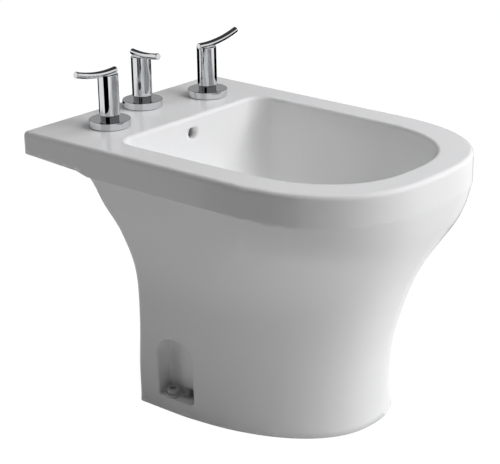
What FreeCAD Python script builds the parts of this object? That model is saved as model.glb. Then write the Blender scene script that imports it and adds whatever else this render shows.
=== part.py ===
import FreeCAD, Part
import math
import os

# Floor-standing bidet with three deck taps, in millimetres.
# Frame: origin on the floor under the middle of the body, +Z up, the front of the bowl faces -Y,
# the deck's wall edge lies at the far +Y end, and X runs across the body.

# General
cut_overrun = 20.0
level_match_share = 1e-6
slip_clearance = 0.1
running_clearance = 0.05
seat_gap = 0.3

# Ceramic body: overall sizes
total_length = 563.0
deck_width = 392.8
rim_height = 380.0
band_height = 42.0
deck_wall_thickness = 31.5
deck_joint_thickness = 37.0
deck_joint_run = 20.0
wall_thickness = 13.0
pocket_wall_thickness = 18.0
deck_plate_thickness = 16.0
rim_edge_radius = 7.0
deck_corner_radius = 9.0
pocket_overlap = 8.0

# Ceramic body: plan and flare of the pedestal
side_taper_share = 0.0156
foot_side_setback = 41.4
foot_front_setback = 94.5
foot_back_from_wall = 163.0
foot_straight_share = 0.18658
rim_nose_share = 0.4888
joint_back_from_wall = 126.0
pedestal_corner_radius = 9.0
nose_side_power_share = 2.17
foot_tip_power_share = 2.3
rim_tip_power_share = 2.85
nose_step_count = 10
height_shares = (0.0, 0.035, 0.18, 0.33, 0.44, 0.55, 0.64, 0.725, 0.805, 0.88, 0.945, 1.0)
nose_flare_shares = (0.0, -0.02, -0.03, 0.03, 0.135, 0.262, 0.395, 0.56, 0.742, 0.894, 0.965, 1.0)
side_flare_shares = (0.0, -0.02, -0.025, -0.01, 0.025, 0.10, 0.24, 0.41, 0.58, 0.75, 0.885, 1.0)
back_flare_shares = (0.0, 0.0, 0.0, -0.1, -0.149, -0.197, -0.195, -0.06, 0.165, 0.541, 0.773, 1.0)
rear_opening_share = 0.7226

# Ceramic body: bowl
rim_side_width = 47.4
rim_front_width = 41.5
bowl_back_from_wall = 140.0
bowl_nose_lead = 5.0
bowl_corner_radius = 28.0
bowl_depth = 150.0
bowl_wall_thickness = 12.0
bowl_floor_inset_share = 0.26174
bowl_draft_inset = 7.0
bowl_lip_radius = 6.0
bowl_floor_corner_radius = 44.0
bowl_curve_share = 0.62
bowl_wall_middle_share = 0.5
bowl_section_count = 7
bowl_tip_power_share = 2.6
dish_depth = 3.0
dish_margin = 5.0
dish_cut_share = 1.5

# Ceramic body: overflow duct behind the bowl and under its floor
overflow_diameter = 17.0
overflow_drop = 24.0
duct_depth = 12.0
duct_width = 26.0
duct_rear_wall = 10.0
duct_side_wall = 11.0
duct_floor_wall = 8.0
duct_run_height = 12.0

# Ceramic body: niches with a ledge for the floor fixings
niche_width = 62.0
niche_height = 90.0
niche_sill = 21.0
niche_depth = 28.0
niche_place_share = 0.23404
niche_top_radius = 25.0
niche_foot_radius = 4.0
niche_mouth_radius = 2.5
niche_wall = 11.0
niche_slot_width = 28.0
niche_slot_height = 19.0
niche_slot_sink = 9.0
niche_slot_lead = 9.0
niche_slot_inset = 5.0

# Floor fixing bushes
bush_bore = 8.5
bush_sleeve_diameter = 12.0
bush_collar_diameter = 16.0
bush_collar_height = 11.0
bush_flange_diameter = 21.0
bush_flange_thickness = 4.0
bush_sleeve_length = 18.0
bush_setback = 12.5
bush_edge_radius = 1.5

# Taps: places on the deck
tap_spacing = 203.2
tap_from_wall = 79.6
diverter_from_wall = 43.6
tap_hole_diameter = 33.0

# Taps: what shows above the deck
deck_gasket_thickness = 0.8
deck_gasket_diameter = 56.0
flange_diameter = 59.0
flange_thickness = 10.0
flange_lip_thickness = 3.0
flange_edge_radius = 0.8
neck_diameter = 26.0
neck_height = 5.0
handle_diameter = 29.0
handle_height = 58.9
handle_edge_radius = 1.2
handle_recess_diameter = 20.0
handle_recess_depth = 6.0
lever_diameter = 9.0
lever_bend_radius = 207.0
lever_short_reach = 17.0
lever_long_reach = 66.5
diverter_lever_short_reach = 20.8
diverter_lever_long_reach = 42.4
lever_sink = 2.7
lever_end_radius = 1.2
hot_lever_angle = 186.0
diverter_lever_angle = 261.0
cold_lever_angle = 0.0

# Taps: valve under and through the deck
shank_diameter = 30.0
chamber_diameter = 23.0
chamber_depth = 43.3
valve_waist_diameter = 34.0
valve_waist_height = 33.0
inlet_tail_diameter = 20.9
inlet_tail_length = 12.0
sealing_washer_thickness = 2.5
clamp_washer_thickness = 1.5
washer_diameter = 46.0
backnut_across_flats = 40.0
backnut_thickness = 8.0
backnut_waist_gap = 1.0
disc_thickness = 3.0
disc_port_diameter = 6.0
disc_port_offset = 5.0
moving_disc_diameter = 18.0
spindle_diameter = 8.0
spindle_foot_thickness = 4.0
spindle_length = 74.0
bonnet_foot_bore = 19.0
bonnet_foot_depth = 9.0
spindle_ring_section = 1.8
spindle_ring_drop = 12.0
grub_diameter = 5.0
grub_length = 8.4
grub_height = 16.0
grub_socket_diameter = 2.4
grub_socket_depth = 3.0
grub_angle = 60.0

# Diverter valve
diverter_waist_height = 47.0
fill_outlet_drop = 18.0

# Pipe unions and tubes
boss_diameter = 14.0
boss_bore = 8.0
boss_reach = 27.0
boss_drop = 46.0
union_across_flats = 19.0
union_cover = 9.0
union_lead = 5.0
tube_diameter = 10.0
tube_bore = 8.0
link_run_share = 0.3676
link_bend_share = 0.3571
fill_bend_radius = 10.0
spray_drop_bend_radius = 40.0
spray_rise_bend_radius = 25.0
spray_side_bend_radius = 55.0

# Fill nozzle and grommet
nozzle_diameter = 9.0
nozzle_bore = 6.0
nozzle_set_back = 8.5
nozzle_drop = 3.5
nozzle_collar_diameter = 20.0
nozzle_collar_thickness = 3.0
nozzle_leg_drop = 21.0
nozzle_leg_top = 5.0
grommet_diameter = 16.0
grommet_flange_diameter = 22.0
grommet_flange_thickness = 2.0

# Spray rose in the bowl's floor
spray_place_share = 0.61992
spray_hole_diameter = 22.0
spray_pad_diameter = 48.0
spray_pad_drop = 12.0
rose_diameter = 36.0
rose_rim_height = 2.5
rose_dome_height = 5.0
rose_shank_diameter = 20.0
rose_shank_length = 40.0
rose_jet_diameter = 1.6
rose_jet_circle = 18.0
rose_jet_count = 6
rose_cavity_diameter = 25.0
rose_cavity_height = 3.0
rose_tail_length = 14.0
spray_gasket_thickness = 1.0
spray_washer_thickness = 2.5
spray_washer_diameter = 34.0
spray_nut_across_flats = 30.0
spray_nut_thickness = 7.0

# Waste
waste_place_share = 0.39712
waste_hole_diameter = 46.0
waste_pad_diameter = 74.0
waste_tube_diameter = 44.0
waste_bore = 36.0
waste_flange_diameter = 64.0
waste_flange_thickness = 2.5
waste_recess_diameter = 68.0
waste_top_seal_thickness = 1.5
waste_seal_diameter = 62.0
waste_bottom_seal_thickness = 3.0
waste_tube_length = 56.5
waste_nut_across_flats = 60.0
waste_nut_thickness = 10.0
waste_port_width = 18.0
guide_diameter = 14.0
guide_height = 14.0
guide_rise = 18.0
guide_rib_thickness = 3.0
guide_rib_count = 3
guide_turn_share = 0.5
tail_diameter = 32.0
tail_bore = 28.0
tail_shoulder_diameter = 33.0
tail_shoulder_length = 15.0
tail_length = 78.0
tail_flange_diameter = 42.0
tail_flange_thickness = 3.0
tail_nut_diameter = 52.0
tail_nut_lip = 6.5
tail_nut_cover = 14.0
plug_diameter = 58.0
plug_rim_height = 3.0
plug_dome_height = 3.0
plug_skirt_diameter = 34.0
plug_skirt_height = 8.0
plug_stem_diameter = 8.0
plug_stem_length = 40.0
plug_ring_section = 2.0
plug_ring_drop = 4.0

os.makedirs("parts", exist_ok=True)

vec = FreeCAD.Vector
up = vec(0, 0, 1)
wall_y = total_length / 2
joint_z = rim_height - band_height
deck_under_z = rim_height - deck_plate_thickness
bowl_floor_z = rim_height - bowl_depth
bowl_back_y = wall_y - bowl_back_from_wall
dish_z = bowl_floor_z - dish_depth


def from_wall(distance):
    return wall_y - distance


def blend(first, last, share):
    return first + (last - first) * share


# Plan sizes that follow from the overall length and width
foot_width = deck_width - 2 * foot_side_setback
foot_front_from_wall = total_length - foot_front_setback
foot_straight_end_from_wall = blend(foot_back_from_wall, foot_front_from_wall, foot_straight_share)
rim_straight_end_from_wall = total_length - deck_width * rim_nose_share
rear_opening_width = foot_width * rear_opening_share
bowl_width = deck_width - 2 * rim_side_width
bowl_front_from_wall = total_length - rim_front_width
bowl_straight_end_from_wall = rim_straight_end_from_wall - bowl_nose_lead
bowl_floor_inset = bowl_width * bowl_floor_inset_share
niche_from_wall = blend(foot_back_from_wall, foot_front_from_wall, niche_place_share)
bush_from_wall = niche_from_wall - bush_setback
waste_from_wall = blend(bowl_back_from_wall, bowl_front_from_wall, waste_place_share)
spray_from_wall = blend(bowl_back_from_wall, bowl_front_from_wall, spray_place_share)
dish_diameter = 2 * (spray_from_wall - waste_from_wall - dish_margin) - rose_diameter
link_gap = tap_spacing / 2 - 2 * boss_reach


def save(name, shape):
    shape.exportStep("parts/" + name + ".step")
    volume = sum(solid.Volume for solid in shape.Solids)
    print(name, len(shape.Solids), "solid(s), valid", shape.isValid(), "volume", round(volume))


def unite(shapes):
    whole = shapes[0]
    for shape in shapes[1:]:
        whole = whole.fuse(shape)
    return whole


def box_between(low, high):
    size = high - low
    return Part.makeBox(size.x, size.y, size.z, low)


def rod(start, direction, length, diameter):
    return Part.makeCylinder(diameter / 2, length, start, direction)


def ring(base, thickness, outer, bore):
    return rod(base, up, thickness, outer).cut(rod(base, up, thickness, bore))


def turned(place, profile):
    """Solid turned about the vertical line through a place, from radius and height pairs."""
    corners = [vec(radius, 0, z) for radius, z in profile]
    face = Part.Face(Part.makePolygon(corners + corners[:1]))
    solid = face.revolve(vec(0, 0, 0), up, 360)
    solid.translate(vec(place.x, place.y, 0))
    return solid


def hex_bar(base, direction, length, across_flats):
    """Hexagonal bar that grows from a base point along a direction."""
    radius = across_flats / 2 / math.cos(math.pi / 6)
    corners = []
    for k in range(7):
        turn = k * math.pi / 3
        corners.append(vec(radius * math.cos(turn), radius * math.sin(turn), 0))
    bar = Part.Face(Part.makePolygon(corners)).extrude(up * length)
    bar.Placement = FreeCAD.Placement(base, FreeCAD.Rotation(up, direction))
    return bar


def rounded_corner(before, corner, after, radius):
    """Start, middle and end of the arc that rounds a corner between two straight runs."""
    back = (before - corner).normalize()
    ahead = (after - corner).normalize()
    half = back.getAngle(ahead) / 2
    reach = radius / math.tan(half)
    centre = corner + (back + ahead).normalize() * (radius / math.sin(half))
    middle = centre + (corner - centre).normalize() * radius
    return corner + back * reach, middle, corner + ahead * reach


def rounded_loop(corners, radii):
    """Closed wire through corners, each rounded by its own radius."""
    arcs = []
    for k, corner in enumerate(corners):
        arcs.append(rounded_corner(corners[k - 1], corner, corners[(k + 1) % len(corners)], radii[k]))
    edges = []
    for k, (start, middle, end) in enumerate(arcs):
        edges.append(Part.Arc(start, middle, end).toShape())
        edges.append(Part.LineSegment(end, arcs[(k + 1) % len(arcs)][0]).toShape())
    return Part.Wire(edges)


def tube(points, radii):
    """Bent tube: straight runs joined by tangent arcs, with its bore."""
    edges = []
    here = points[0]
    for k, radius in enumerate(radii):
        start, middle, end = rounded_corner(points[k], points[k + 1], points[k + 2], radius)
        edges.append(Part.LineSegment(here, start).toShape())
        edges.append(Part.Arc(start, middle, end).toShape())
        here = end
    edges.append(Part.LineSegment(here, points[-1]).toShape())
    path = Part.Wire(edges)
    first = (points[1] - points[0]).normalize()

    def sweep(diameter):
        circle = Part.Circle(points[0], first, diameter / 2).toShape()
        return path.makePipe(Part.Face(Part.Wire(circle)))

    return sweep(tube_diameter).cut(sweep(tube_bore))


def union_nut(end, direction):
    """Nut that covers a threaded boss's end and draws a tube against it."""
    start = end - direction * union_cover
    nut = hex_bar(start, direction, union_cover + union_lead, union_across_flats)
    nut = nut.cut(rod(start, direction, union_cover, boss_diameter + 2 * slip_clearance))
    return nut.cut(rod(end, direction, union_lead, tube_diameter + 2 * slip_clearance))


def edges_at(shape, z, test):
    """Edges that lie wholly at one height and whose box passes a test."""
    near = cut_overrun * level_match_share
    found = []
    for edge in shape.Edges:
        box = edge.BoundBox
        if abs(box.ZMin - z) < near and abs(box.ZMax - z) < near and test(box):
            found.append(edge)
    return found


# Ceramic body

def d_wire(z, width, back, corner, straight_end, front, tip_power):
    """D outline at one height: straight back, rounded corners, tapered sides and a full nose."""

    def side(y):
        return width / 2 - side_taper_share * (wall_y - y)

    right = []
    for step in range(nose_step_count):
        turn = math.pi / 2 * step / nose_step_count
        y = straight_end - (straight_end - front) * math.sin(turn) ** (2 / nose_side_power_share)
        right.append(vec(side(y) * math.cos(turn) ** (2 / tip_power), y, z))
    left = [vec(-p.x, p.y, z) for p in reversed(right)]
    nose = Part.BSplineCurve()
    nose.interpolate(Points=right + [vec(0, front, z)] + left,
                     InitialTangent=vec(-side_taper_share, -1, 0), FinalTangent=vec(-side_taper_share, 1, 0))
    corner_right = vec(side(back), back, z)
    corner_left = vec(-side(back), back, z)
    a1, a2, a3 = rounded_corner(corner_left, corner_right, right[0], corner)
    b1, b2, b3 = rounded_corner(left[-1], corner_left, corner_right, corner)
    return Part.Wire([
        Part.LineSegment(b3, a1).toShape(),
        Part.Arc(a1, a2, a3).toShape(),
        Part.LineSegment(a3, right[0]).toShape(),
        nose.toShape(),
        Part.LineSegment(left[-1], b1).toShape(),
        Part.Arc(b1, b2, b3).toShape(),
    ])


def pedestal_loft(inset, foot_drop):
    """Flared pedestal from the floor to the rim band, drawn in all round by the inset."""
    wires = []
    levels = zip(height_shares, nose_flare_shares, side_flare_shares, back_flare_shares)
    for height, nose, flank, rear in levels:
        z = blend(-foot_drop, joint_z, height)
        width = blend(foot_width, deck_width, flank) - 2 * inset
        back = from_wall(blend(foot_back_from_wall, joint_back_from_wall, rear)) - inset
        straight_end = from_wall(blend(foot_straight_end_from_wall, rim_straight_end_from_wall, nose))
        front = from_wall(blend(foot_front_from_wall, total_length, nose)) + inset
        tip_power = blend(foot_tip_power_share, rim_tip_power_share, nose)
        wires.append(d_wire(z, width, back, pedestal_corner_radius, straight_end, front, tip_power))
    return Part.makeLoft(wires, True, False)


def slab_outline(z, inset):
    return d_wire(z, deck_width - 2 * inset, wall_y - inset, deck_corner_radius,
                  from_wall(rim_straight_end_from_wall), -wall_y + inset, rim_tip_power_share)


def slab():
    """Deck and rim band, with a rounded top edge and an underside that rises towards the wall."""
    solid = Part.Face(slab_outline(joint_z, 0.0)).extrude(up * band_height)
    solid = solid.makeFillet(rim_edge_radius, edges_at(solid, rim_height, lambda box: True))
    start_y = from_wall(joint_back_from_wall)
    knee_y = start_y + deck_joint_run
    rise = (deck_joint_thickness - deck_wall_thickness) / (wall_y - knee_y)
    end_y = wall_y + cut_overrun
    x = deck_width / 2 + cut_overrun
    profile = [
        vec(-x, start_y, joint_z),
        vec(-x, knee_y, rim_height - deck_joint_thickness),
        vec(-x, end_y, rim_height - deck_wall_thickness + rise * cut_overrun),
        vec(-x, end_y, joint_z - cut_overrun),
        vec(-x, start_y, joint_z - cut_overrun),
    ]
    wedge = Part.Face(Part.makePolygon(profile + profile[:1])).extrude(vec(2 * x, 0, 0))
    return solid.cut(wedge)


def bowl_wire(z, inset, outset):
    grow = outset - inset
    rounding = blend(bowl_corner_radius, bowl_floor_corner_radius, max(inset, 0.0) / bowl_floor_inset)
    return d_wire(z, bowl_width + 2 * grow, bowl_back_y + grow, rounding,
                  from_wall(bowl_straight_end_from_wall), from_wall(bowl_front_from_wall) - grow,
                  bowl_tip_power_share)


def bowl_loft(outset, top_z):
    """Bowl hollow from its floor up to a height, or its outer skin when an outset is given."""
    curve_top = blend(bowl_floor_z, rim_height, bowl_curve_share)
    floor_z = bowl_floor_z - outset

    def draft(z):
        return bowl_draft_inset * (rim_height - z) / bowl_depth

    wires = []
    for step in range(bowl_section_count):
        turn = math.pi / 2 * step / (bowl_section_count - 1)
        z = curve_top - (curve_top - floor_z) * math.cos(turn)
        inset = draft(z) + (bowl_floor_inset - bowl_draft_inset) * (1 - math.sin(turn))
        wires.append(bowl_wire(z, inset, outset))
    for z in (blend(curve_top, top_z, bowl_wall_middle_share), top_z):
        wires.append(bowl_wire(z, draft(z), outset))
    return Part.makeLoft(wires, True, False)


def mirrored(shape):
    return shape.mirror(vec(0, 0, 0), vec(1, 0, 0))


def niche_cutter():
    """Arched recess in the +X flank, with a slot to the hollow at the front half of its ledge."""
    x = foot_width / 2 - niche_depth
    y = from_wall(niche_from_wall)
    low = vec(x, y - niche_width / 2, niche_sill)
    high = vec(x, y + niche_width / 2, niche_sill + niche_height)
    corners = [low, vec(x, high.y, low.z), high, vec(x, low.y, high.z)]
    radii = [niche_foot_radius, niche_foot_radius, niche_top_radius, niche_top_radius]
    recess = Part.Face(rounded_loop(corners, radii)).extrude(vec(niche_depth + cut_overrun, 0, 0))
    slot_z = niche_sill - niche_slot_sink
    slot_y = low.y + niche_slot_inset
    slot_low = vec(x - niche_wall - cut_overrun, slot_y, slot_z)
    slot_high = vec(x + niche_slot_lead, slot_y + niche_slot_width, slot_z + niche_slot_height)
    return recess.fuse(box_between(slot_low, slot_high))


def niche_backing():
    """Ceramic kept behind a niche, down to the floor."""
    y = from_wall(niche_from_wall)
    half = niche_width / 2 + niche_wall
    low = vec(foot_width / 2 - niche_depth - niche_wall, y - half, -2 * cut_overrun)
    return box_between(low, vec(deck_width / 2, y + half, niche_sill + niche_height + niche_wall))


def niche_mouth(body):
    """Edges where the niches open on the flanks."""
    y = from_wall(niche_from_wall)
    inner_x = foot_width / 2 - niche_depth / 2
    reach = niche_width / 2 + niche_mouth_radius
    high = niche_sill + niche_height + niche_mouth_radius
    found = []
    for edge in body.Edges:
        box = edge.BoundBox
        if min(abs(box.XMin), abs(box.XMax)) > inner_x and box.YMin > y - reach and box.YMax < y + reach \
                and box.ZMin > niche_sill - niche_mouth_radius and box.ZMax < high:
            found.append(edge)
    return found


waste_place = vec(0, from_wall(waste_from_wall), 0)
spray_place = vec(0, from_wall(spray_from_wall), 0)
bush_place = vec(foot_width / 2 - niche_depth / 2, from_wall(bush_from_wall), 0)
duct_front_y = bowl_back_y + bowl_wall_thickness
duct_back_y = duct_front_y + duct_depth
duct_rear_y = duct_back_y + duct_rear_wall
duct_top_z = bowl_floor_z - bowl_wall_thickness
duct_floor_z = duct_top_z - duct_run_height
waste_pad_z = duct_floor_z - duct_floor_wall
spray_pad_z = bowl_floor_z - bowl_wall_thickness - spray_pad_drop
overflow_z = rim_height - overflow_drop
nozzle_z = overflow_z - nozzle_drop


def under_bowl():
    """Bowl's outer skin with the duct's rib, the waste pad and the spray pad."""
    half = duct_width / 2 + duct_side_wall
    top_z = rim_height - deck_plate_thickness / 2
    skin = bowl_loft(bowl_wall_thickness, top_z)
    rib_low = vec(-half, duct_front_y - duct_rear_wall, waste_pad_z)
    rear_rib = box_between(rib_low, vec(half, duct_rear_y, top_z))
    floor_rib = box_between(vec(-half, waste_place.y, waste_pad_z), vec(half, duct_rear_y, dish_z))
    waste_pad = rod(waste_place + up * waste_pad_z, up, dish_z - waste_pad_z, waste_pad_diameter)
    spray_pad = rod(spray_place + up * spray_pad_z, up, dish_z - spray_pad_z, spray_pad_diameter)
    return unite([skin, rear_rib, floor_rib, waste_pad, spray_pad])


def inner_void(kept):
    """Hollow of the pedestal and deck, open at the floor and at the back, less the ceramic that is kept."""
    hollow = pedestal_loft(wall_thickness, cut_overrun)
    pocket_z = joint_z - pocket_overlap
    pocket = Part.Face(slab_outline(pocket_z, pocket_wall_thickness)).extrude(up * (deck_under_z - pocket_z))
    half = rear_opening_width / 2
    opening_low = vec(-half, from_wall(foot_back_from_wall) - half, -cut_overrun)
    opening_back = wall_y - pocket_wall_thickness - deck_corner_radius
    opening = box_between(opening_low, vec(half, opening_back, joint_z - pocket_overlap / 2))
    return unite([hollow, pocket, opening]).cut(kept)


def overflow_duct():
    """Overflow hole, the drop behind the bowl and the run under its floor to the waste."""
    half = duct_width / 2
    drop = box_between(vec(-half, duct_front_y, duct_floor_z), vec(half, duct_back_y, deck_under_z))
    run = box_between(vec(-half, waste_place.y, duct_floor_z), vec(half, duct_back_y, duct_top_z))
    hole = rod(vec(0, bowl_back_y - cut_overrun, overflow_z), vec(0, 1, 0),
               duct_front_y - bowl_back_y + cut_overrun + duct_depth / 2, overflow_diameter)
    grommet_hole = rod(vec(0, duct_back_y - duct_depth / 2, nozzle_z), vec(0, 1, 0),
                       duct_rear_wall + duct_depth, grommet_diameter + 2 * slip_clearance)
    return unite([drop, run, hole, grommet_hole])


def ceramic_body(skin):
    """Glazed body as one shape: pedestal, slab and bowl, with every hollow and hole."""
    kept = unite([skin, niche_backing(), mirrored(niche_backing())])
    body = pedestal_loft(0.0, 0.0).fuse(slab()).fuse(skin)
    body = body.cut(bowl_loft(0.0, rim_height + cut_overrun))
    reach_x = bowl_width / 2 + bowl_lip_radius
    reach_y = bowl_back_y + bowl_lip_radius
    lip = edges_at(body, rim_height, lambda box: max(-box.XMin, box.XMax) < reach_x and box.YMax < reach_y)
    body = body.makeFillet(bowl_lip_radius, lip)
    body = body.cut(inner_void(kept))
    body = body.cut(niche_cutter()).cut(mirrored(niche_cutter()))
    body = body.makeFillet(niche_mouth_radius, niche_mouth(body))
    body = body.cut(overflow_duct())
    dish_top_radius = blend(waste_recess_diameter / 2, dish_diameter / 2, dish_cut_share)
    dish = Part.makeCone(waste_recess_diameter / 2, dish_top_radius, dish_depth * dish_cut_share,
                         waste_place + up * dish_z)
    recess_z = dish_z - waste_flange_thickness - waste_top_seal_thickness
    holes = [
        dish,
        rod(waste_place + up * recess_z, up, dish_z - recess_z, waste_recess_diameter),
        rod(waste_place + up * (waste_pad_z - cut_overrun), up, bowl_floor_z - waste_pad_z + cut_overrun,
            waste_hole_diameter),
        rod(spray_place + up * (spray_pad_z - cut_overrun), up, bowl_floor_z - spray_pad_z + 2 * cut_overrun,
            spray_hole_diameter),
    ]
    for x, y in tap_places:
        holes.append(rod(vec(x, y, deck_under_z - cut_overrun), up, deck_plate_thickness + 2 * cut_overrun,
                         tap_hole_diameter))
    for sign in (-1, 1):
        foot = vec(sign * bush_place.x, bush_place.y, -cut_overrun)
        holes.append(rod(foot, up, niche_sill + 2 * cut_overrun, bush_sleeve_diameter + 4 * slip_clearance))
    for hole in holes:
        body = body.cut(hole)
    return body


def ceramic_castings():
    """Rim with its deck, basin and pedestal, which are cast apart and stuck together before firing."""
    skin = under_bowl()
    body = ceramic_body(skin)
    reach = total_length + rim_height
    above = box_between(vec(-reach, -reach, joint_z), vec(reach, reach, joint_z + reach))
    half = rear_opening_width / 2
    strip = box_between(vec(-half, bowl_back_y, joint_z - pocket_overlap), vec(half, wall_y, joint_z))
    below = body.cut(above)
    save("rim_and_deck", body.common(above))
    save("basin", below.common(skin))
    save("pedestal", below.cut(skin).cut(strip))


def bolt_bush(place):
    sleeve = rod(place + up * (niche_sill - bush_sleeve_length), up, bush_sleeve_length, bush_sleeve_diameter)
    flange = rod(place + up * niche_sill, up, bush_flange_thickness, bush_flange_diameter)
    collar = rod(place + up * niche_sill, up, bush_collar_height, bush_collar_diameter)
    top_z = niche_sill + bush_collar_height
    collar = collar.makeFillet(bush_edge_radius, edges_at(collar, top_z, lambda box: True))
    bore = rod(place, up, top_z, bush_bore)
    return unite([sleeve, flange, collar]).cut(bore)


# Taps

tap_y = from_wall(tap_from_wall)
tap_places = [(-tap_spacing / 2, tap_y), (0.0, from_wall(diverter_from_wall)), (tap_spacing / 2, tap_y)]
flange_z = rim_height + deck_gasket_thickness
flange_top_z = flange_z + flange_thickness
shank_top_z = flange_top_z - flange_lip_thickness - seat_gap
neck_top_z = flange_top_z + neck_height
handle_z = neck_top_z + seat_gap
handle_top_z = handle_z + handle_height
nut_z = deck_under_z - sealing_washer_thickness - clamp_washer_thickness - backnut_thickness
waist_top_z = nut_z - backnut_waist_gap
chamber_z = shank_top_z - chamber_depth
fixed_disc_z = chamber_z
moving_disc_z = fixed_disc_z + disc_thickness + seat_gap
spindle_z = moving_disc_z + disc_thickness
spindle_top_z = spindle_z + spindle_length
bonnet_z = fixed_disc_z + disc_thickness + seat_gap
boss_z = rim_height - boss_drop


def valve_body(place, waist_height, tail_diameter, tail_length, bosses):
    """Brass valve: shank through the deck, waist below it, foot tail and side bosses."""
    waist_z = waist_top_z - waist_height
    foot_z = waist_z - tail_length
    tail = tail_diameter / 2
    waist = valve_waist_diameter / 2
    shank = shank_diameter / 2
    body = turned(place, [
        (0.0, foot_z), (tail, foot_z), (tail, waist_z), (waist, waist_z), (waist, waist_top_z),
        (shank, waist_top_z), (shank, shank_top_z), (0.0, shank_top_z)])
    for direction, z in bosses:
        body = body.fuse(rod(place + up * z, direction, boss_reach, boss_diameter))
    body = body.cut(rod(place + up * chamber_z, up, chamber_depth, chamber_diameter))
    body = body.cut(rod(place + up * foot_z, up, chamber_z - foot_z, boss_bore))
    for direction, z in bosses:
        body = body.cut(rod(place + up * z, direction, boss_reach, boss_bore))
    return body


def tap_flange(place):
    bore = shank_diameter / 2 + slip_clearance
    lip_bore = neck_diameter / 2 + 2 * slip_clearance
    lip_z = flange_top_z - flange_lip_thickness
    disc = turned(place, [
        (bore, flange_z), (flange_diameter / 2, flange_z), (flange_diameter / 2, flange_top_z),
        (lip_bore, flange_top_z), (lip_bore, lip_z), (bore, lip_z)])
    outer = edges_at(disc, flange_top_z, lambda box: box.XLength > neck_diameter + flange_lip_thickness)
    return disc.makeFillet(flange_edge_radius, outer)


def bonnet(place):
    """Headwork that screws into the shank; its collar is the neck under the handle."""
    barrel = chamber_diameter / 2 - slip_clearance
    bore = spindle_diameter / 2 + running_clearance
    foot_bore = bonnet_foot_bore / 2
    collar_z = shank_top_z + seat_gap
    solid = turned(place, [
        (foot_bore, bonnet_z), (barrel, bonnet_z), (barrel, collar_z), (neck_diameter / 2, collar_z),
        (neck_diameter / 2, neck_top_z), (bore, neck_top_z), (bore, bonnet_z + bonnet_foot_depth),
        (foot_bore, bonnet_z + bonnet_foot_depth)])
    groove_z = neck_top_z - spindle_ring_drop - slip_clearance
    groove = spindle_diameter + 2 * spindle_ring_section + 4 * slip_clearance
    return solid.cut(rod(place + up * groove_z, up, spindle_ring_section + 2 * slip_clearance, groove))


def spindle_ring(place):
    radius = spindle_diameter / 2 + running_clearance + spindle_ring_section / 2
    z = neck_top_z - spindle_ring_drop + spindle_ring_section / 2
    return Part.makeTorus(radius, spindle_ring_section / 2, place + up * z)


def spindle(place):
    foot = rod(place + up * spindle_z, up, spindle_foot_thickness, moving_disc_diameter)
    return foot.fuse(rod(place + up * spindle_z, up, spindle_length, spindle_diameter))


def port_disc(place, z, diameter, angle):
    """Ceramic disc with one port off its axis."""
    turn = math.radians(angle)
    port = place + vec(math.cos(turn), math.sin(turn), 0) * disc_port_offset
    return rod(place + up * z, up, disc_thickness, diameter).cut(
        rod(port + up * z, up, disc_thickness, disc_port_diameter))


def lever_rod(place, angle, reaches, diameter):
    """Curved rod that lies across the handle's top, lowest on the tap's axis."""
    z = handle_top_z - lever_sink + lever_diameter / 2
    centre = vec(0, 0, z + lever_bend_radius)
    short_reach, long_reach = reaches
    back_turn = math.degrees(math.asin(short_reach / lever_bend_radius))
    whole_turn = back_turn + math.degrees(math.asin(long_reach / lever_bend_radius))
    section = Part.Face(Part.Wire(Part.Circle(vec(0, 0, z), vec(1, 0, 0), diameter / 2).toShape()))
    section.rotate(centre, vec(0, 1, 0), back_turn)
    solid = section.revolve(centre, vec(0, -1, 0), whole_turn)
    solid.rotate(vec(0, 0, 0), up, angle)
    solid.translate(vec(place.x, place.y, 0))
    return solid


def lever(place, angle, reaches):
    solid = lever_rod(place, angle, reaches, lever_diameter)
    ends = [edge for edge in solid.Edges if edge.Curve.TypeId == "Part::GeomCircle"
            and abs(edge.Curve.Radius - lever_diameter / 2) < running_clearance and edge.isClosed()]
    return solid.makeFillet(lever_end_radius, ends)


def grub_axis():
    turn = math.radians(grub_angle)
    return vec(math.cos(turn), math.sin(turn), 0)


def grub_screw(place):
    start = place + up * (handle_z + grub_height) + grub_axis() * (spindle_diameter / 2 + running_clearance)
    screw = rod(start, grub_axis(), grub_length, grub_diameter)
    socket = start + grub_axis() * (grub_length - grub_socket_depth)
    return screw.cut(hex_bar(socket, grub_axis(), grub_socket_depth, grub_socket_diameter))


def handle(place, angle, reaches):
    """Plain cylinder handle with a seat for the lever, a spindle bore and a grub screw hole."""
    solid = rod(place + up * handle_z, up, handle_height, handle_diameter)
    solid = solid.makeFillet(handle_edge_radius, edges_at(solid, handle_z, lambda box: True)
                             + edges_at(solid, handle_top_z, lambda box: True))
    solid = solid.cut(lever_rod(place, angle, reaches, lever_diameter + 2 * running_clearance))
    solid = solid.cut(rod(place + up * handle_z, up, handle_recess_depth, handle_recess_diameter))
    solid = solid.cut(rod(place + up * handle_z, up, spindle_top_z - handle_z + seat_gap,
                          spindle_diameter + 2 * running_clearance))
    return solid.cut(rod(place + up * (handle_z + grub_height), grub_axis(), handle_diameter,
                         grub_diameter + 2 * running_clearance))


tap_bosses = [
    [(vec(1, 0, 0), boss_z)],
    [(vec(-1, 0, 0), boss_z), (vec(1, 0, 0), boss_z), (vec(0, -1, 0), boss_z - fill_outlet_drop)],
    [(vec(-1, 0, 0), boss_z)],
]
spray_foot_z = waist_top_z - diverter_waist_height - inlet_tail_length
spray_tail_z = bowl_floor_z + spray_gasket_thickness - rose_shank_length - rose_tail_length


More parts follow.
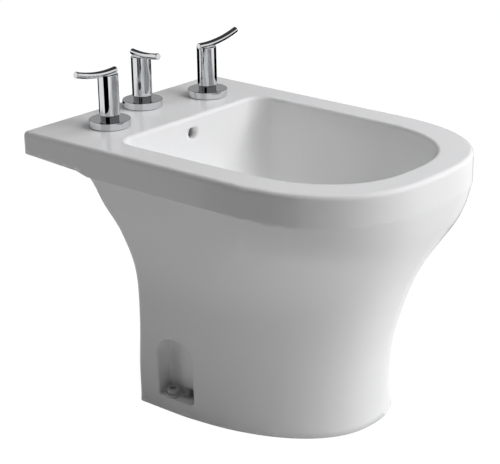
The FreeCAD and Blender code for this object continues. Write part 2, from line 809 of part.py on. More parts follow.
def all_taps():
    shared = {name: [] for name in ("deck_gaskets", "sealing_washers", "clamp_washers", "backnuts",
                                    "fixed_discs", "spindle_rings")}
    angles = (hot_lever_angle, diverter_lever_angle, cold_lever_angle)
    for name, (x, y), angle, bosses in zip(("hot", "diverter", "cold"), tap_places, angles, tap_bosses):
        place = vec(x, y, 0)
        if name == "diverter":
            reaches = (diverter_lever_short_reach, diverter_lever_long_reach)
            valve = valve_body(place, diverter_waist_height, boss_diameter, inlet_tail_length, bosses)
        else:
            reaches = (lever_short_reach, lever_long_reach)
            valve = valve_body(place, valve_waist_height, inlet_tail_diameter, inlet_tail_length, bosses)
        save(name + "_valve_body", valve)
        save(name + "_flange", tap_flange(place))
        save(name + "_bonnet", bonnet(place))
        save(name + "_spindle", spindle(place))
        save(name + "_moving_disc", port_disc(place, moving_disc_z, moving_disc_diameter, angle))
        save(name + "_handle", handle(place, angle, reaches))
        save(name + "_lever", lever(place, angle, reaches))
        save(name + "_grub_screw", grub_screw(place))
        bore = shank_diameter + 2 * slip_clearance
        deck = place + up * rim_height
        washer = place + up * (deck_under_z - sealing_washer_thickness)
        clamp = washer - up * clamp_washer_thickness
        nut_foot = place + up * nut_z
        nut = hex_bar(nut_foot, up, backnut_thickness, backnut_across_flats)
        disc_diameter = chamber_diameter - 2 * slip_clearance
        gasket = ring(deck, deck_gasket_thickness, deck_gasket_diameter, tap_hole_diameter)
        shared["deck_gaskets"].append(gasket)
        shared["sealing_washers"].append(ring(washer, sealing_washer_thickness, washer_diameter, bore))
        shared["clamp_washers"].append(ring(clamp, clamp_washer_thickness, washer_diameter, bore))
        shared["backnuts"].append(nut.cut(rod(nut_foot, up, backnut_thickness, bore)))
        shared["fixed_discs"].append(port_disc(place, fixed_disc_z, disc_diameter, 0.0))
        shared["spindle_rings"].append(spindle_ring(place))
    for name, solids in shared.items():
        save(name, Part.makeCompound(solids))


# Tubes between the valves, the fill nozzle and the spray rose

hot_place, diverter_place, cold_place = [vec(x, y, 0) for x, y in tap_places]
nozzle_y = duct_rear_y + grommet_flange_thickness + nozzle_collar_thickness + boss_diameter / 2
nozzle_foot = vec(0, nozzle_y, nozzle_z - nozzle_leg_drop)


def link_tube(sign):
    """Tube from an outer valve to the diverter, on the side given by the sign."""
    start = vec(sign * (tap_spacing / 2 - boss_reach), tap_y, boss_z)
    end = vec(sign * boss_reach, diverter_place.y, boss_z)
    inward = vec(-sign * link_gap * link_run_share, 0, 0)
    bend = link_gap * link_bend_share
    return tube([start, start + inward, end - inward, end], [bend, bend])


def fill_tube():
    start = vec(0, diverter_place.y - boss_reach, boss_z - fill_outlet_drop)
    return tube([start, vec(0, nozzle_foot.y, start.z), nozzle_foot], [fill_bend_radius])


def spray_tube():
    """Tube from the diverter's foot, round the waste and up to the spray rose."""
    start = diverter_place + up * spray_foot_z
    end = spray_place + up * spray_tail_z
    aside = waste_pad_diameter / 2 + 2 * tube_diameter
    low_z = end.z - 2 * spray_rise_bend_radius
    points = [
        start,
        start - up * (spray_drop_bend_radius + boss_reach / 2),
        vec(aside, duct_front_y - duct_depth, end.z - tube_diameter),
        vec(aside, waste_place.y - tube_diameter, low_z),
        vec(0, end.y, low_z),
        end,
    ]
    return tube(points, [spray_drop_bend_radius, spray_side_bend_radius, spray_side_bend_radius,
                         spray_rise_bend_radius])


def union_nuts():
    nuts = []
    for place, bosses in zip((hot_place, diverter_place, cold_place), tap_bosses):
        for direction, z in bosses:
            nuts.append(union_nut(place + up * z + direction * boss_reach, direction))
    down = -up
    nuts.append(union_nut(diverter_place + up * spray_foot_z, down))
    nuts.append(union_nut(spray_place + up * spray_tail_z, down))
    nuts.append(union_nut(nozzle_foot, down))
    return Part.makeCompound(nuts)


def fill_nozzle():
    """Elbow behind the duct: its jet reaches into the overflow hole, its leg takes the fill tube."""
    tip = vec(0, bowl_back_y + nozzle_set_back, nozzle_z)
    collar = vec(0, duct_rear_y + grommet_flange_thickness, nozzle_z)
    along = vec(0, 1, 0)
    leg_height = nozzle_leg_drop + nozzle_leg_top
    body = unite([
        rod(tip, along, nozzle_y - tip.y, nozzle_diameter),
        rod(collar, along, nozzle_collar_thickness, nozzle_collar_diameter),
        rod(nozzle_foot, up, leg_height, boss_diameter),
    ])
    body = body.cut(rod(tip, along, nozzle_y - tip.y, nozzle_bore))
    return body.cut(rod(nozzle_foot, up, nozzle_leg_drop, nozzle_bore))


def fill_grommet():
    along = vec(0, 1, 0)
    start = vec(0, duct_back_y, nozzle_z)
    length = duct_rear_wall + grommet_flange_thickness
    sleeve = rod(start, along, length, grommet_diameter)
    flange = rod(vec(0, duct_rear_y, nozzle_z), along, grommet_flange_thickness, grommet_flange_diameter)
    return sleeve.fuse(flange).cut(rod(start, along, length, nozzle_diameter + 2 * running_clearance))


# Spray rose and waste in the bowl's floor

def spray_rose():
    seat_z = bowl_floor_z + spray_gasket_thickness
    rim_z = seat_z + rose_rim_height
    radius = rose_diameter / 2
    dome_radius = (radius ** 2 + rose_dome_height ** 2) / (2 * rose_dome_height)
    dome = Part.makeSphere(dome_radius, spray_place + up * (rim_z + rose_dome_height - dome_radius))
    height = rose_rim_height + rose_dome_height
    dome = dome.common(rod(spray_place + up * seat_z, up, 2 * height, rose_diameter))
    foot_z = seat_z - rose_shank_length
    body = unite([
        dome,
        rod(spray_place + up * foot_z, up, rose_shank_length + rose_rim_height / 2, rose_shank_diameter),
        rod(spray_place + up * spray_tail_z, up, rose_tail_length, boss_diameter),
    ])
    cavity_z = seat_z + rose_rim_height / 2
    body = body.cut(rod(spray_place + up * cavity_z, up, rose_cavity_height, rose_cavity_diameter))
    bore_length = cavity_z - spray_tail_z + rose_rim_height / 2
    body = body.cut(rod(spray_place + up * spray_tail_z, up, bore_length, boss_bore))
    jets = [spray_place]
    for k in range(rose_jet_count):
        turn = 2 * math.pi * k / rose_jet_count
        jets.append(spray_place + vec(math.cos(turn), math.sin(turn), 0) * (rose_jet_circle / 2))
    for jet in jets:
        body = body.cut(rod(jet + up * rim_z, up, 2 * rose_dome_height, rose_jet_diameter))
    return body


def spray_fixings():
    bore = rose_shank_diameter + 2 * slip_clearance
    gasket_diameter = rose_diameter - rose_rim_height
    washer = spray_place + up * (spray_pad_z - spray_washer_thickness)
    nut_foot = washer - up * spray_nut_thickness
    nut = hex_bar(nut_foot, up, spray_nut_thickness, spray_nut_across_flats)
    save("spray_gasket", ring(spray_place + up * bowl_floor_z, spray_gasket_thickness, gasket_diameter, bore))
    save("spray_washer", ring(washer, spray_washer_thickness, spray_washer_diameter, bore))
    save("spray_backnut", nut.cut(rod(nut_foot, up, spray_nut_thickness, bore)))


waste_flange_z = dish_z - waste_flange_thickness
waste_foot_z = waste_flange_z - waste_tube_length
tail_top_z = waste_foot_z


def waste_body():
    """Flanged waste with overflow ports and a three-ribbed guide for the plug's stem."""
    bore = waste_bore / 2
    outer = waste_tube_diameter / 2
    flange = waste_flange_diameter / 2
    body = turned(waste_place, [
        (bore, waste_foot_z), (outer, waste_foot_z), (outer, waste_flange_z), (flange, waste_flange_z),
        (flange, dish_z), (bore, dish_z)])
    port = box_between(vec(-waste_port_width / 2, waste_place.y, duct_floor_z),
                       vec(waste_port_width / 2, waste_place.y + waste_tube_diameter, duct_top_z))
    body = body.cut(port)
    guide_z = waste_foot_z + guide_rise
    guide = rod(waste_place + up * guide_z, up, guide_height, guide_diameter)
    for k in range(guide_rib_count):
        rib = Part.makeBox((waste_bore + waste_tube_diameter) / 4, guide_rib_thickness, guide_height,
                           vec(0, -guide_rib_thickness / 2, guide_z))
        rib.rotate(vec(0, 0, 0), up, 360 * (k + guide_turn_share) / guide_rib_count)
        rib.translate(waste_place)
        guide = guide.fuse(rib)
    stem_bore = plug_stem_diameter + 2 * slip_clearance
    return body.fuse(guide).cut(rod(waste_place + up * guide_z, up, guide_height, stem_bore))


def waste_fixings():
    tube_fit = waste_tube_diameter + 2 * slip_clearance
    top = waste_place + up * (waste_flange_z - waste_top_seal_thickness)
    bottom = waste_place + up * (waste_pad_z - waste_bottom_seal_thickness)
    nut_foot = bottom - up * waste_nut_thickness
    nut = hex_bar(nut_foot, up, waste_nut_thickness, waste_nut_across_flats)
    save("waste_top_seal", ring(top, waste_top_seal_thickness, waste_seal_diameter, tube_fit))
    save("waste_bottom_seal", ring(bottom, waste_bottom_seal_thickness, waste_seal_diameter, tube_fit))
    save("waste_backnut", nut.cut(rod(nut_foot, up, waste_nut_thickness, tube_fit)))


def waste_tailpiece():
    foot_z = tail_top_z - tail_length
    flange_z = tail_top_z - tail_flange_thickness
    shoulder_z = flange_z - tail_shoulder_length
    bore = tail_bore / 2
    outer = tail_diameter / 2
    shoulder = tail_shoulder_diameter / 2
    flange = tail_flange_diameter / 2
    return turned(waste_place, [
        (bore, foot_z), (outer, foot_z), (outer, shoulder_z), (shoulder, shoulder_z), (shoulder, flange_z),
        (flange, flange_z), (flange, tail_top_z), (bore, tail_top_z)])


def tailpiece_nut():
    lip_top_z = tail_top_z - tail_flange_thickness
    low_z = lip_top_z - tail_nut_lip
    inner = waste_tube_diameter / 2 + slip_clearance
    lip_bore = tail_shoulder_diameter / 2 + slip_clearance
    outer = tail_nut_diameter / 2
    high_z = tail_top_z + tail_nut_cover
    return turned(waste_place, [
        (lip_bore, low_z), (outer, low_z), (outer, high_z), (inner, high_z), (inner, lip_top_z),
        (lip_bore, lip_top_z)])


def waste_plug():
    """Push plug: domed cap, skirt with a seal groove and a stem that slides in the guide."""
    seat_z = dish_z + seat_gap
    radius = plug_diameter / 2
    dome_radius = (radius ** 2 + plug_dome_height ** 2) / (2 * plug_dome_height)
    top_z = seat_z + plug_rim_height + plug_dome_height
    cap = Part.makeSphere(dome_radius, waste_place + up * (top_z - dome_radius))
    cap = cap.common(rod(waste_place + up * seat_z, up, 2 * (top_z - seat_z), plug_diameter))
    skirt_z = seat_z - plug_skirt_height
    body = unite([
        cap,
        rod(waste_place + up * skirt_z, up, plug_skirt_height, plug_skirt_diameter),
        rod(waste_place + up * (skirt_z - plug_stem_length), up, plug_stem_length, plug_stem_diameter),
    ])
    return body.cut(plug_seal())


def plug_seal():
    radius = (waste_bore - plug_ring_section) / 2 - running_clearance
    middle = waste_place + up * (dish_z + seat_gap - plug_ring_drop)
    return Part.makeTorus(radius, plug_ring_section / 2, middle)


ceramic_castings()
save("bolt_bushes", Part.makeCompound([bolt_bush(bush_place), mirrored(bolt_bush(bush_place))]))
all_taps()
save("hot_link_tube", link_tube(-1))
save("cold_link_tube", link_tube(1))
save("fill_tube", fill_tube())
save("spray_tube", spray_tube())
save("union_nuts", union_nuts())
save("fill_nozzle", fill_nozzle())
save("fill_grommet", fill_grommet())
save("spray_rose", spray_rose())
spray_fixings()
save("waste_body", waste_body())
waste_fixings()
save("waste_tailpiece", waste_tailpiece())
save("tailpiece_nut", tailpiece_nut())
save("waste_plug", waste_plug())
save("plug_seal", plug_seal())
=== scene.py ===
# %% [markdown]
# # A glazed bidet with three chrome taps
# The real object is thick ceramic, cast in three pieces and glazed and fired as one, with plated brass
# taps bolted through its deck. The solids come ready made, so this lesson is about skin: how glaze,
# chrome, brass and rubber answer the light, and how to light a white object on a white ground.

import math

import bmesh
import bpy
from mathutils import Matrix, Vector
from mathutils.bvhtree import BVHTree
from mathutils.geometry import intersect_point_line


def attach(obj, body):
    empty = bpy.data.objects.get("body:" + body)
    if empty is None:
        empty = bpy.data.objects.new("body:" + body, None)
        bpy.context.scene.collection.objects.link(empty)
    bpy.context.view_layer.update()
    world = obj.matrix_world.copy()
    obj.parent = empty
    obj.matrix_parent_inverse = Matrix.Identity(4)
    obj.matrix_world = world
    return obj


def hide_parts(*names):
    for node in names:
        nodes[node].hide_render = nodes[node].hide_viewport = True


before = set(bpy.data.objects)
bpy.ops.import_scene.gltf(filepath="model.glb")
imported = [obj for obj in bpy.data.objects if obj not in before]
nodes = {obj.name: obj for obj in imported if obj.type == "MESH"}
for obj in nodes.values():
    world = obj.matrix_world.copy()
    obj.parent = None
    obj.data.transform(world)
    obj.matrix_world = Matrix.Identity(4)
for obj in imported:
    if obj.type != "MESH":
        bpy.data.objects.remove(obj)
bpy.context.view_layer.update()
scene = bpy.context.scene

# %% [markdown]
# ## The camera
# A camera can be aimed with a constraint or set by its own axes. The view here was solved from the deck's
# straight edges, so the camera is set by its axes: where it looks, what is up and a slight roll.

# %% Set the camera
CAMERA_PLACE = Vector((-1.5016, -1.2685, 0.9751))
CAMERA_TURN = math.radians(-49.052)
CAMERA_DIP = math.radians(20.549)
CAMERA_ROLL = math.radians(-0.955)
SENSOR_WIDTH = 36.0
PICTURE_WIDTH = 500.0
FOCAL_PIXELS = 1501.0
FOCAL_LENGTH = FOCAL_PIXELS * SENSOR_WIDTH / PICTURE_WIDTH
NEAR_CLIP, FAR_CLIP = 0.05, 60.0

look = Vector((
    -math.sin(CAMERA_TURN) * math.cos(CAMERA_DIP),
    math.cos(CAMERA_TURN) * math.cos(CAMERA_DIP),
    -math.sin(CAMERA_DIP),
))
level = Vector((math.cos(CAMERA_TURN), math.sin(CAMERA_TURN), 0.0))
rise = level.cross(look)
right = level * math.cos(CAMERA_ROLL) + rise * math.sin(CAMERA_ROLL)
upward = rise * math.cos(CAMERA_ROLL) - level * math.sin(CAMERA_ROLL)

camera_data = bpy.data.cameras.new("view")
camera_data.sensor_fit = "HORIZONTAL"
camera_data.sensor_width = SENSOR_WIDTH
camera_data.lens = FOCAL_LENGTH
camera_data.clip_start = NEAR_CLIP
camera_data.clip_end = FAR_CLIP
camera = bpy.data.objects.new("view", camera_data)
scene.collection.objects.link(camera)
camera.matrix_world = Matrix((
    (right.x, upward.x, -look.x, CAMERA_PLACE.x),
    (right.y, upward.y, -look.y, CAMERA_PLACE.y),
    (right.z, upward.z, -look.z, CAMERA_PLACE.z),
    (0.0, 0.0, 0.0, 1.0),
))
scene.camera = camera
scene.view_settings.view_transform = "Standard"
print("camera lens", round(FOCAL_LENGTH, 2), "mm")

# %% [markdown]
# ## Helpers for node materials
# Every finish is a small node tree. A few helpers keep the cells short: they start a material or a node
# group, add a node and set its inputs by name, place a group, and give a material to named solids.

# %% Define the node helpers
def add_node(tree, kind, **settings):
    """Add a node to a tree; settings named after inputs set those inputs, others set the node itself."""
    node = tree.nodes.new(kind)
    for name, value in settings.items():
        socket = node.inputs.get(name.replace("_", " "))
        if socket is not None:
            socket.default_value = value
        else:
            setattr(node, name, value)
    return node


def start_material(name, **shader_values):
    """A material with one Principled shader, whose constant values are set on its own sockets."""
    material = bpy.data.materials.new(name)
    material.use_nodes = True
    shader = material.node_tree.nodes["Principled BSDF"]
    for socket, value in shader_values.items():
        shader.inputs[socket.replace("_", " ")].default_value = value
    return material, material.node_tree, shader


def start_group(name, inputs, outputs):
    """An empty node group with named float inputs and outputs of a given kind."""
    group = bpy.data.node_groups.new(name, "ShaderNodeTree")
    for label, value in inputs:
        socket = group.interface.new_socket(label, in_out="INPUT", socket_type="NodeSocketFloat")
        socket.default_value = value
    for label, kind in outputs:
        group.interface.new_socket(label, in_out="OUTPUT", socket_type=kind)
    return group, group.nodes.new("NodeGroupInput"), group.nodes.new("NodeGroupOutput")


def place_group(tree, group, **values):
    """Place a node group in a tree and set its inputs by name."""
    node = tree.nodes.new("ShaderNodeGroup")
    node.node_tree = group
    for label, value in values.items():
        node.inputs[label.replace("_", " ")].default_value = value
    return node


def dress(names, material):
    """Give every named solid one material."""
    for name in names:
        mesh = nodes[name].data
        mesh.materials.clear()
        mesh.materials.append(material)
    print(material.name, "on", len(names), "solids")


# %% [markdown]
# ## A shared effect: uneven surface
# No fired or plated surface is perfectly even. Broad, faint clouds change the tone and the gloss, and a
# fine ripple tilts the reflections. The same group serves glaze, chrome, brass and rubber with its own
# sizes.

# %% Build the uneven surface group
uneven, group_in, group_out = start_group(
    "uneven surface",
    [("Cloud Scale", 6.0), ("Ripple Scale", 60.0)],
    [("Cloud", "NodeSocketFloat"), ("Ripple", "NodeSocketFloat")],
)
place = add_node(uneven, "ShaderNodeTexCoord")
cloud = add_node(uneven, "ShaderNodeTexNoise", Detail=3.0, Roughness=0.55)
ripple = add_node(uneven, "ShaderNodeTexNoise", Detail=2.0, Roughness=0.5)
for noise, label, out in ((cloud, "Cloud Scale", "Cloud"), (ripple, "Ripple Scale", "Ripple")):
    uneven.links.new(place.outputs["Object"], noise.inputs["Vector"])
    uneven.links.new(group_in.outputs[label], noise.inputs["Scale"])
    uneven.links.new(noise.outputs["Fac"], group_out.inputs[out])
print("group", uneven.name, "with", len(uneven.nodes), "nodes")


# %% Define a finish that uses the group
CLOUD_LOW, CLOUD_HIGH = 0.3, 0.7


def finish(name, dark, light, gloss, dull, ripple_height, cloud_scale, ripple_scale, **shader_values):
    """A material whose tone and roughness drift with the clouds and whose normal carries the ripple."""
    material, tree, shader = start_material(name, **shader_values)
    surface = place_group(tree, uneven, Cloud_Scale=cloud_scale, Ripple_Scale=ripple_scale)
    tone = add_node(tree, "ShaderNodeMix", data_type="RGBA")
    tone.inputs[6].default_value = (*dark, 1.0)
    tone.inputs[7].default_value = (*light, 1.0)
    sheen = add_node(tree, "ShaderNodeMapRange")
    sheen.inputs["From Min"].default_value = CLOUD_LOW
    sheen.inputs["From Max"].default_value = CLOUD_HIGH
    sheen.inputs["To Min"].default_value = gloss
    sheen.inputs["To Max"].default_value = dull
    bump = add_node(tree, "ShaderNodeBump", Strength=1.0, Distance=ripple_height)
    tree.links.new(surface.outputs["Cloud"], tone.inputs[0])
    tree.links.new(surface.outputs["Cloud"], sheen.inputs["Value"])
    tree.links.new(surface.outputs["Ripple"], bump.inputs["Height"])
    tree.links.new(tone.outputs[2], shader.inputs["Base Color"])
    tree.links.new(sheen.outputs["Result"], shader.inputs["Roughness"])
    tree.links.new(bump.outputs["Normal"], shader.inputs["Normal"])
    return material


# %% [markdown]
# ## The glaze
# Sanitary glaze is a glassy coat, about half a millimetre thick, over a white body. It could be a plain
# white plastic, but glaze has a clear reflection over a soft white depth, so the shader gets half a clear
# coat over a rougher base, with the faint ripple that dipped glaze keeps after firing.

# %% Make the glaze
glaze = finish("white glaze", (0.93, 0.93, 0.93), (0.94, 0.94, 0.94), 0.36, 0.42, 0.00003, 7.0, 30.0,
               IOR=1.5, Specular_IOR_Level=0.25, Coat_Weight=0.5, Coat_Roughness=0.12)

# %% [markdown]
# ## One skin over three castings
# Rim, basin and pedestal are cast apart and stuck together with slip. The glaze is poured over all three,
# so no seam shows. A skin could be drawn again from scratch, but joining copies of the castings keeps
# their true form: the faces that touch another casting go, and what is left is welded along the open
# seams.

# %% Join the castings without their touching faces
CASTINGS = ("rim_and_deck", "basin", "pedestal")
TOUCH = 0.00015
MERGE = 2e-6
FACING = -0.9

shapes = []
for name in CASTINGS:
    shape = bmesh.new()
    shape.from_mesh(nodes[name].data)
    bmesh.ops.remove_doubles(shape, verts=shape.verts, dist=MERGE)
    shape.normal_update()
    shapes.append(shape)
trees = [BVHTree.FromBMesh(shape) for shape in shapes]

skin = bmesh.new()
for number, shape in enumerate(shapes):
    hidden = []
    for face in shape.faces:
        middle = face.calc_center_median()
        for tree in trees[:number] + trees[number + 1:]:
            normal = tree.find_nearest(middle, TOUCH)[1]
            if normal is not None and normal.dot(face.normal) < FACING:
                hidden.append(face)
                break
    bmesh.ops.delete(shape, geom=hidden, context="FACES")
    casting = shape.faces.layers.int.new("casting")
    for face in shape.faces:
        face[casting] = number
    open_mesh = bpy.data.meshes.new("open casting")
    shape.to_mesh(open_mesh)
    shape.free()
    skin.from_mesh(open_mesh)
    bpy.data.meshes.remove(open_mesh)
    print(CASTINGS[number], "lost", len(hidden), "touching faces")

# %% [markdown]
# ## Welding the seams
# Both sides of a seam follow the same curve, but their corners lie at different places on it. So each
# open edge is split wherever a corner of the facing side lies on it. Then both sides have the same
# corners and weld.

# %% Split and weld the open edges
SEAM_REACH = 0.0006
SAME_PLACE = 0.0001

casting = skin.faces.layers.int["casting"]
open_edges = [[], [], []]
corners = {}
for edge in skin.edges:
    if edge.is_boundary:
        number = edge.link_faces[0][casting]
        open_edges[number].append(edge)
        for vert in edge.verts:
            corners[vert] = number

cuts = {}
for vert, own in corners.items():
    for number, edges in enumerate(open_edges):
        nearest, found, place = SEAM_REACH, None, 0.0
        for edge in edges if number != own else ():
            first, last = edge.verts[0].co, edge.verts[1].co
            share = min(max(intersect_point_line(vert.co, first, last)[1], 0.0), 1.0)
            distance = (first.lerp(last, share) - vert.co).length
            if distance < nearest:
                nearest, found, place = distance, edge, share
        if found and min((end.co - vert.co).length for end in found.verts) > SAME_PLACE:
            cuts.setdefault(found, []).append((place, vert.co.copy()))

for edge, points in cuts.items():
    start, end = edge.verts
    for place, spot in sorted(points, key=lambda point: point[0]):
        start = bmesh.utils.edge_split(edge, start, 0.5)[1]
        start.co = spot
        edge = next(part for part in start.link_edges if part.other_vert(start) is end)
bmesh.ops.remove_doubles(skin, verts=[vert for vert in skin.verts if vert.is_boundary], dist=SAME_PLACE)
print("seams cut at", len(cuts), "edges, open edges left:", sum(edge.is_boundary for edge in skin.edges))

# %% [markdown]
# ## An even gloss
# A gloss glaze shows every long triangle below it. Cutting the long edges and weighting the normals by
# area shades the skin evenly, while edges sharper than the set angle stay crisp.

# %% Divide and smooth the skin
LONGEST_EDGE = 0.012
SHARP_ANGLE = math.radians(32.0)
CUT_ROUNDS = 7


def finish_skin(shape, name, longest):
    """Cut long edges, shade smooth and make an object with weighted normals."""
    bmesh.ops.triangulate(shape, faces=[face for face in shape.faces if len(face.verts) > 3])
    for _ in range(CUT_ROUNDS):
        long_edges = [edge for edge in shape.edges if edge.calc_length() > longest]
        if not long_edges:
            break
        bmesh.ops.subdivide_edges(shape, edges=long_edges, cuts=1)
        bmesh.ops.triangulate(shape, faces=[face for face in shape.faces if len(face.verts) > 3])
    for face in shape.faces:
        face.smooth = True
    mesh = bpy.data.meshes.new(name)
    shape.to_mesh(mesh)
    shape.free()
    mesh.set_sharp_from_angle(angle=SHARP_ANGLE)
    piece = bpy.data.objects.new(name, mesh)
    scene.collection.objects.link(piece)
    even = piece.modifiers.new("even shading", "WEIGHTED_NORMAL")
    even.mode = "FACE_AREA_WITH_ANGLE"
    even.keep_sharp = True
    print(name, "has", len(mesh.polygons), "triangles")
    return piece


glazed_skin = finish_skin(skin, "glazed_skin", LONGEST_EDGE)
glazed_skin.data.materials.append(glaze)
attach(glazed_skin, "ceramic")
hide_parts(*CASTINGS)

# %% [markdown]
# ## Chrome, brass, steel, rubber and plastic
# Plated pieces take their look from what they mirror, so chrome is a light grey metal with almost no
# roughness, dulled a little by fingers. The short collar between a handle and its flange lies in the
# handle's shade and mirrors dark things, so that shade is painted into it as a much darker chrome. The
# brass below the deck is bare and machined. Rubber and the pale plastic of the floor bushes are rough, so
# their light comes mostly from their own colour.

# %% Make the other finishes
chrome = finish("polished chrome", (0.65, 0.66, 0.68), (0.69, 0.7, 0.71), 0.025, 0.06, 0.000004, 30.0, 90.0,
                Metallic=1.0)
# Painted shade: the collar's dark base colour stands in for the handle's shade and its dark reflections.
painted_shade_chrome = finish("collar chrome with painted shade", (0.12, 0.12, 0.125), (0.15, 0.15, 0.155), 0.05, 0.1, 0.000004,
                     30.0, 90.0, Metallic=1.0)
brass = finish("machined brass", (0.50, 0.34, 0.13), (0.66, 0.47, 0.2), 0.22, 0.36, 0.00002, 60.0, 500.0,
               Metallic=1.0)
steel = finish("plain steel", (0.42, 0.42, 0.43), (0.55, 0.55, 0.56), 0.25, 0.4, 0.00002, 60.0, 500.0,
               Metallic=1.0)
rubber = finish("black rubber", (0.015, 0.015, 0.016), (0.03, 0.03, 0.03), 0.55, 0.75, 0.00003, 80.0, 900.0)
bush_plastic = finish("pale bush plastic", (0.52, 0.52, 0.52), (0.6, 0.6, 0.6), 0.4, 0.55, 0.00003, 80.0,
                      700.0)
disc_ceramic = finish("lapped disc ceramic", (0.74, 0.71, 0.65), (0.8, 0.78, 0.73), 0.15, 0.25, 0.00001, 80.0,
                      600.0)

TAPS = ("hot", "diverter", "cold")
dress([tap + part for tap in TAPS for part in ("_handle", "_lever", "_flange")], chrome)
dress([tap + "_bonnet" for tap in TAPS], painted_shade_chrome)
dress(["hot_link_tube", "cold_link_tube", "fill_tube", "spray_tube", "fill_nozzle", "spray_rose",
       "waste_body", "waste_tailpiece", "tailpiece_nut", "waste_plug"], chrome)
dress([tap + part for tap in TAPS for part in ("_valve_body", "_spindle")], brass)
dress(["backnuts", "union_nuts", "spray_backnut", "waste_backnut"], brass)
dress([tap + "_grub_screw" for tap in TAPS] + ["clamp_washers"], steel)
dress(["deck_gaskets", "sealing_washers", "spindle_rings", "fill_grommet", "spray_gasket", "spray_washer",
       "waste_top_seal", "waste_bottom_seal", "plug_seal"], rubber)
dress([tap + "_moving_disc" for tap in TAPS] + ["fixed_discs"], disc_ceramic)
dress(["bolt_bushes"], bush_plastic)

# %% [markdown]
# ## Stage and light
# A white object on a white ground needs shade to show its form. The ground is white to the camera and to
# mirrors, while the lamps are placed so that the front is bright and the near flank falls into grey. Inside
# the foot, where the real floor is in shade, a patch of dark paper paints that shade onto the floor.

# %% Lay the floor
WHITE = (1.0, 1.0, 1.0, 1.0)
PAPER = (0.85, 0.85, 0.85, 1.0)
PAINTED_SHADE = (0.25, 0.25, 0.25, 1.0)
GLOW_STRENGTH = 1.12
WHITE_SHARE = 0.88
FLOOR_SIZE, FLOOR_PLACE = (14.0, 14.0), (0.0, 0.0, -0.0005)
FOOT_SIZE, FOOT_PLACE = (0.2, 0.2), (0.0, 0.011, -0.0002)


def stage_plane(name, size, matrix, material):
    """A card of the stage, made with a grid operator, scaled and placed by a matrix."""
    shape = bmesh.new()
    bmesh.ops.create_grid(shape, x_segments=1, y_segments=1, size=0.5)
    bmesh.ops.scale(shape, vec=(size[0], size[1], 1.0), verts=shape.verts)
    bmesh.ops.transform(shape, matrix=matrix, verts=shape.verts)
    mesh = bpy.data.meshes.new(name)
    shape.to_mesh(mesh)
    shape.free()
    mesh.materials.append(material)
    card = bpy.data.objects.new(name, mesh)
    scene.collection.objects.link(card)
    return card


def white_to_camera(name, share):
    """A pale card that looks white to the camera and to mirrors, and still takes some shadow."""
    material = bpy.data.materials.new(name)
    material.use_nodes = True
    tree = material.node_tree
    tree.nodes.clear()
    output = add_node(tree, "ShaderNodeOutputMaterial")
    paper = add_node(tree, "ShaderNodeBsdfDiffuse")
    paper.inputs["Color"].default_value = PAPER
    glow = add_node(tree, "ShaderNodeEmission", Strength=GLOW_STRENGTH)
    path = add_node(tree, "ShaderNodeLightPath")
    either = add_node(tree, "ShaderNodeMath", operation="MAXIMUM")
    amount = add_node(tree, "ShaderNodeMath", operation="MULTIPLY")
    amount.inputs[1].default_value = share
    mix = add_node(tree, "ShaderNodeMixShader")
    tree.links.new(path.outputs["Is Camera Ray"], either.inputs[0])
    tree.links.new(path.outputs["Is Glossy Ray"], either.inputs[1])
    tree.links.new(either.outputs[0], amount.inputs[0])
    tree.links.new(amount.outputs[0], mix.inputs[0])
    tree.links.new(paper.outputs[0], mix.inputs[1])
    tree.links.new(glow.outputs[0], mix.inputs[2])
    tree.links.new(mix.outputs[0], output.inputs["Surface"])
    return material


stage_plane("floor", FLOOR_SIZE, Matrix.Translation(FLOOR_PLACE), white_to_camera("pale floor", WHITE_SHARE))
# Painted shade: dark paper inside the foot stands in for the shade under the pedestal.
painted_shade_paper = start_material("paper with painted shade", Base_Color=PAINTED_SHADE, Roughness=0.9)[0]
stage_plane("painted shade in the foot", FOOT_SIZE, Matrix.Translation(FOOT_PLACE), painted_shade_paper)
print("floor laid")

# %% Light the world
world = bpy.data.worlds.new("studio air")
scene.world = world
world.use_nodes = True
tree = world.node_tree
tree.nodes.clear()
output = add_node(tree, "ShaderNodeOutputWorld")
air = add_node(tree, "ShaderNodeBackground", Strength=0.0)
air.inputs["Color"].default_value = WHITE
ground = add_node(tree, "ShaderNodeBackground", Strength=1.0)
ground.inputs["Color"].default_value = WHITE
path = add_node(tree, "ShaderNodeLightPath")
seen = add_node(tree, "ShaderNodeMath", operation="MAXIMUM")
mirrored = add_node(tree, "ShaderNodeMath", operation="MAXIMUM")
mix = add_node(tree, "ShaderNodeMixShader")
tree.links.new(path.outputs["Is Camera Ray"], seen.inputs[0])
tree.links.new(path.outputs["Is Transmission Ray"], seen.inputs[1])
tree.links.new(seen.outputs[0], mirrored.inputs[0])
tree.links.new(path.outputs["Is Glossy Ray"], mirrored.inputs[1])
tree.links.new(mirrored.outputs[0], mix.inputs[0])
tree.links.new(air.outputs[0], mix.inputs[1])
tree.links.new(ground.outputs[0], mix.inputs[2])
tree.links.new(mix.outputs[0], output.inputs["Surface"])
print("world lit")


# %% Hang the lamps
MIDDLE = Vector((0.0, 0.0, 0.25))
LAMP_DISTANCE = 3.0
LAMP_SIZE = 1.8
PLAIN = (1.0, 1.0, 1.0)
COOL = (0.95, 0.955, 1.0)
# Name, turn about Z and height angle in degrees, power in watts, tint
LAMPS = (
    ("front lamp", 292.0, 40.0, 57.0, PLAIN),
    ("right lamp", 337.0, 40.0, 33.0, COOL),
    ("back lamp", 135.0, 20.0, 7.5, PLAIN),
    ("top lamp", 0.0, 90.0, 13.0, PLAIN),
)


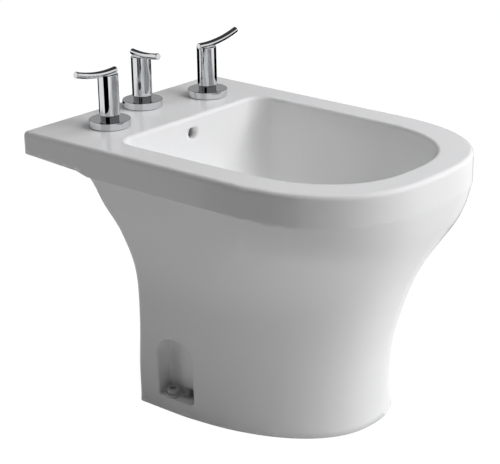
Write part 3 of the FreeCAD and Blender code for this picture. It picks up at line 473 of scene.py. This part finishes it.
def soft_lamp(name, turn, height, power, tint):
    """A square area lamp at a turn and height about the object's middle, aimed at it, unseen by mirrors."""
    turn, height = math.radians(turn), math.radians(height)
    ray = Vector((math.cos(turn) * math.cos(height), math.sin(turn) * math.cos(height), math.sin(height)))
    data = bpy.data.lights.new(name, "AREA")
    data.shape = "RECTANGLE"
    data.size = data.size_y = LAMP_SIZE
    data.energy = power
    data.color = tint
    lamp = bpy.data.objects.new(name, data)
    scene.collection.objects.link(lamp)
    lamp.location = MIDDLE + LAMP_DISTANCE * ray
    lamp.rotation_euler = (MIDDLE - lamp.location).to_track_quat("-Z", "Y").to_euler()
    lamp.visible_glossy = False


for lamp_values in LAMPS:
    soft_lamp(*lamp_values)
print("lamps hung:", len(LAMPS))

# %% [markdown]
# ## Cards for the chrome
# A mirror in an all-white room looks like white paint. Product photographers stand black and grey cards
# around chrome, so that its edges read dark. The cards here are seen by mirrors only and throw no shadow.

# %% Stand the cards
BLACK = (0.0, 0.0, 0.0, 1.0)
# Name, place, turn about Z and tilt in degrees, size, tone
CARDS = (
    ("left card", (-0.55, 0.0, 0.36), 90.0, 0.0, (0.52, 0.7), 0.0),
    ("ceiling card", (0.4, 0.3, 1.8), 0.0, -90.0, (4.8, 4.8), 0.05),
    ("back card", (1.6, 1.4, 1.55), -49.8, 0.0, (4.6, 0.5), 0.0),
    ("grey card", (1.6, 1.4, 0.85), -49.8, 0.0, (4.6, 0.9), 0.36),
    ("low back card", (0.39, 0.56, 0.21), 0.0, 0.0, (1.14, 0.4), 0.0),
    ("low right card", (0.5, 0.25, 0.21), 90.0, 0.0, (0.8, 0.4), 0.0),
)


def mirror_card(name, place, turn, tilt, size, tone):
    """A card that only mirrors see: upright, turned about Z, leaned by a tilt, black or grey by its tone."""
    material = start_material(name, Base_Color=BLACK, Roughness=1.0, Specular_IOR_Level=0.0,
                              Emission_Color=WHITE, Emission_Strength=tone)[0]
    matrix = (Matrix.Translation(place) @ Matrix.Rotation(math.radians(turn), 4, "Z")
              @ Matrix.Rotation(math.radians(90.0 + tilt), 4, "X"))
    card = stage_plane(name, size, matrix, material)
    card.visible_camera = False
    card.visible_diffuse = False
    card.visible_shadow = False
    card.visible_transmission = False


for card_values in CARDS:
    mirror_card(*card_values)
print("cards stood:", len(CARDS))
